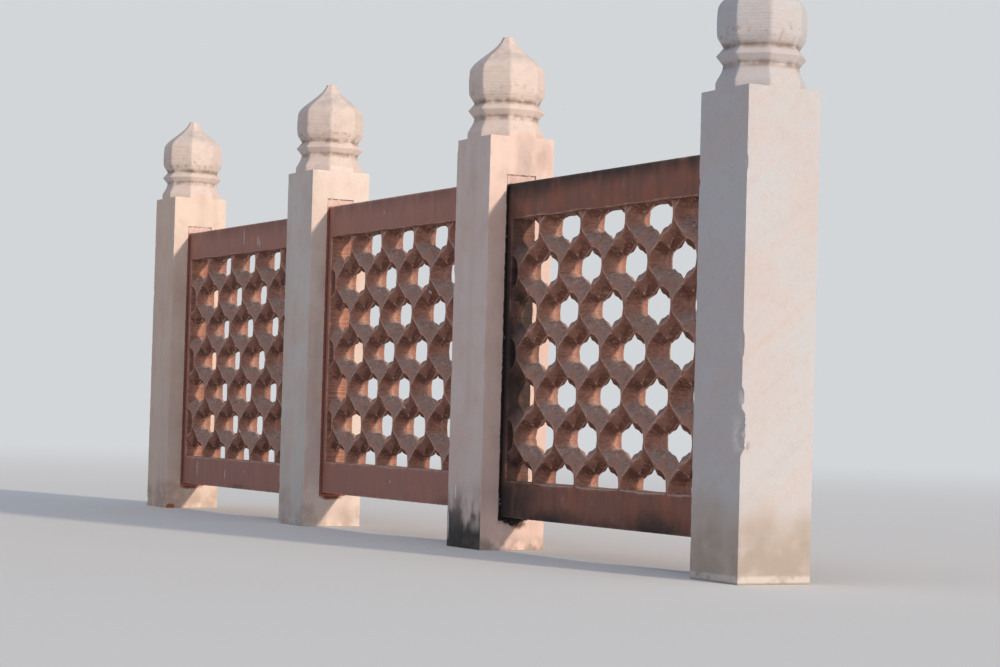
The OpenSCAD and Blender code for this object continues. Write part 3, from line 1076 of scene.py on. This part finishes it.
def plain_ground(colour, backdrop):
    """Pale floor that takes the object's shadow and fades into the backdrop."""
    material, tree, place = surface("plain_floor")
    away = add(tree, VECTOR, [place, FLOOR_MIDDLE], operation="SUBTRACT")
    away = add(tree, VECTOR, [away], out="Value", operation="LENGTH")
    faded = limited(tree, (away, 0.9, FLOOR_RADIUS * 0.7), seen_itself(tree))
    matt = add(tree, "ShaderNodeBsdfDiffuse", {"Color": rgba(colour)})
    glow = add(tree, "ShaderNodeEmission", {"Color": rgba(backdrop), "Strength": 1.0})
    add(tree, "ShaderNodeOutputMaterial", [add(tree, "ShaderNodeMixShader", [faded, matt, glow])])
    return material


def plain_world(backdrop):
    """Even light from all round, with the backdrop's colour where the camera sees it."""
    world = bpy.data.worlds.new("plain_light")
    world.use_nodes = True
    tree = world.node_tree
    tree.nodes.clear()
    light = add(tree, "ShaderNodeBackground", {"Color": rgba(SKY), "Strength": SKY_STRENGTH})
    shown = add(tree, "ShaderNodeBackground", {"Color": rgba(backdrop), "Strength": 1.0})
    mix = add(tree, "ShaderNodeMixShader", [seen_itself(tree), light, shown])
    add(tree, "ShaderNodeOutputWorld", [mix])
    return world


class BALUSTRADE_OT_stage(bpy.types.Operator):
    """Set the floor, the lamps and the camera"""

    bl_idname = "balustrade.stage"
    bl_label = "Stage"

    def execute(self, context):
        scene = context.scene
        stage = scene.balustrade_stage
        work = bmesh.new()
        bmesh.ops.create_circle(work, cap_ends=True, radius=FLOOR_RADIUS, segments=64)
        mesh = bpy.data.meshes.new("floor")
        work.to_mesh(mesh)
        work.free()
        mesh.transform(Matrix.Translation(FLOOR_MIDDLE))
        mesh.materials.append(plain_ground(stage.floor, stage.backdrop))
        new_object("floor", mesh)
        scene.world = plain_world(stage.backdrop)
        for name, (towards, power, spread, code) in LAMPS.items():
            lamp = bpy.data.lights.new(name, "SUN")
            lamp.energy, lamp.angle, lamp.color = power, math.radians(spread), linear(code)
            thing = new_object(name, lamp)
            thing.rotation_mode = "QUATERNION"
            thing.rotation_quaternion = Vector(towards).to_track_quat("Z", "Y")
        forward = Vector((-math.cos(stage.yaw) * math.cos(stage.pitch),
            math.sin(stage.yaw) * math.cos(stage.pitch), math.sin(stage.pitch)))
        right = forward.cross(Vector((0, 0, 1))).normalized()
        up = right.cross(forward)
        turned = right * math.cos(stage.roll) + up * math.sin(stage.roll)
        up = up * math.cos(stage.roll) - right * math.sin(stage.roll)
        lens = bpy.data.cameras.new("camera")
        lens.lens, lens.clip_start, lens.clip_end = stage.lens, 0.05, 100
        camera = new_object("camera", lens)
        camera.matrix_world = Matrix.Translation(stage.camera) @ Matrix(
            (turned, up, -forward)).transposed().to_4x4()
        scene.camera = camera
        scene.view_settings.view_transform = "Standard"
        return {"FINISHED"}


class BALUSTRADE_PT_sidebar(bpy.types.Panel):
    """Sizes, colours and the steps of the balustrade"""

    bl_idname = "BALUSTRADE_PT_sidebar"
    bl_label = "Balustrade"
    bl_space_type = "VIEW_3D"
    bl_region_type = "UI"
    bl_category = "Balustrade"

    def draw(self, context):
        for group in GROUPS:
            box = self.layout.box()
            settings = getattr(context.scene, group)
            for name in settings.__annotations__:
                box.prop(settings, name)
        for operator in OPERATORS:
            self.layout.operator(operator.bl_idname)


GROUPS = {
    "balustrade_posts": PostSizes,
    "balustrade_panels": PanelSizes,
    "balustrade_mortar": MortarSizes,
    "balustrade_colours": StoneColours,
    "balustrade_stage": StageSizes,
}
OPERATORS = (BALUSTRADE_OT_posts, BALUSTRADE_OT_panels, BALUSTRADE_OT_mortar,
    BALUSTRADE_OT_stage)


def register():
    for name, group in GROUPS.items():
        bpy.utils.register_class(group)
        setattr(bpy.types.Scene, name, PointerProperty(type=group))
    for shown in (*OPERATORS, BALUSTRADE_PT_sidebar):
        bpy.utils.register_class(shown)


def unregister():
    for shown in (BALUSTRADE_PT_sidebar, *reversed(OPERATORS)):
        bpy.utils.unregister_class(shown)
    for name, group in reversed(GROUPS.items()):
        delattr(bpy.types.Scene, name)
        bpy.utils.unregister_class(group)


def main():
    """Builds the balustrade and its stage."""
    register()
    bpy.ops.balustrade.posts()
    bpy.ops.balustrade.panels()
    bpy.ops.balustrade.mortar()
    bpy.ops.balustrade.stage()


if __name__ == "__main__":
    main()
